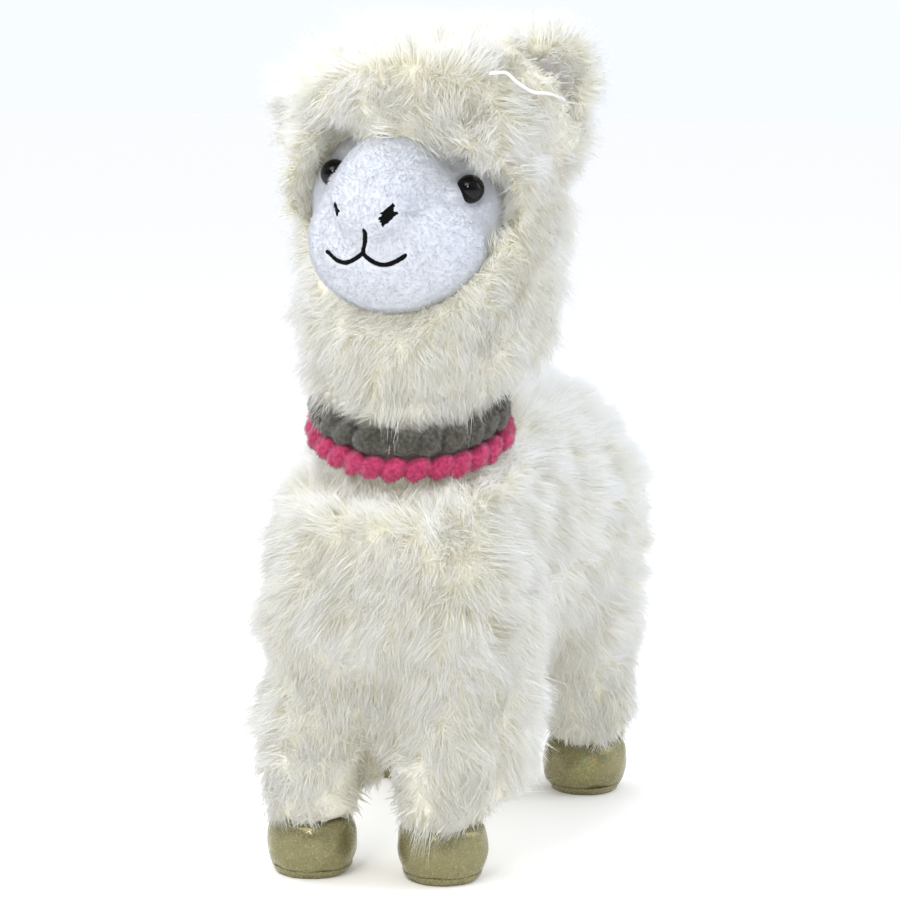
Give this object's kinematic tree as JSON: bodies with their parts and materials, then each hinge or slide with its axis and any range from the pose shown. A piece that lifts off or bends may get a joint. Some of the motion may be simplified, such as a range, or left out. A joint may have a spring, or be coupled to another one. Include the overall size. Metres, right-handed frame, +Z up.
{
  "type": "plush toy llama",
  "caption": "Standing plush toy llama with shaggy cream fleece, a smooth white face, a bobble collar and gold cloth hooves.",
  "frame": {"origin": "on the surface that the hooves stand on, under the middle of the toy", "axes": "+Z up, along the toy's height; -Y the way the toy faces; +X the toy's own left"},
  "size_m": [0.1473, 0.2282, 0.3309],
  "materials": {
    "fleece": "long-pile polyester plush, cream at the roots and white at the tips",
    "ear_lining": "short-pile velour",
    "face": "white short-pile velour",
    "eye": "polished black",
    "embroidery": "satin-stitched black thread",
    "collar_grey": "chenille bobbles",
    "collar_pink": "chenille bobbles",
    "hoof": "gold foil-printed cloth with fine glitter",
    "string": "white nylon thread"
  },
  "bodies": {
    "root": {"head": "fleece", "forelock": "fleece", "neck": "fleece", "trunk": "fleece", "tail": "fleece", "leg_front_left": "fleece", "leg_front_right": "fleece", "leg_rear_left": "fleece", "leg_rear_right": "fleece", "ear_left": "fleece", "ear_right": "fleece", "ear_lining_left": "ear_lining", "ear_lining_right": "ear_lining", "face": "face", "eye_left": "eye", "eye_right": "eye", "nostril_left": "embroidery", "nostril_right": "embroidery", "mouth": "embroidery", "collar_grey": "collar_grey", "collar_pink": "collar_pink", "hoof_front_left": "hoof", "hoof_front_right": "hoof", "hoof_rear_left": "hoof", "hoof_rear_right": "hoof", "sole_front_left": "hoof", "sole_front_right": "hoof", "sole_rear_left": "hoof", "sole_rear_right": "hoof", "tag_string": "string"}
  },
  "joints": []
}
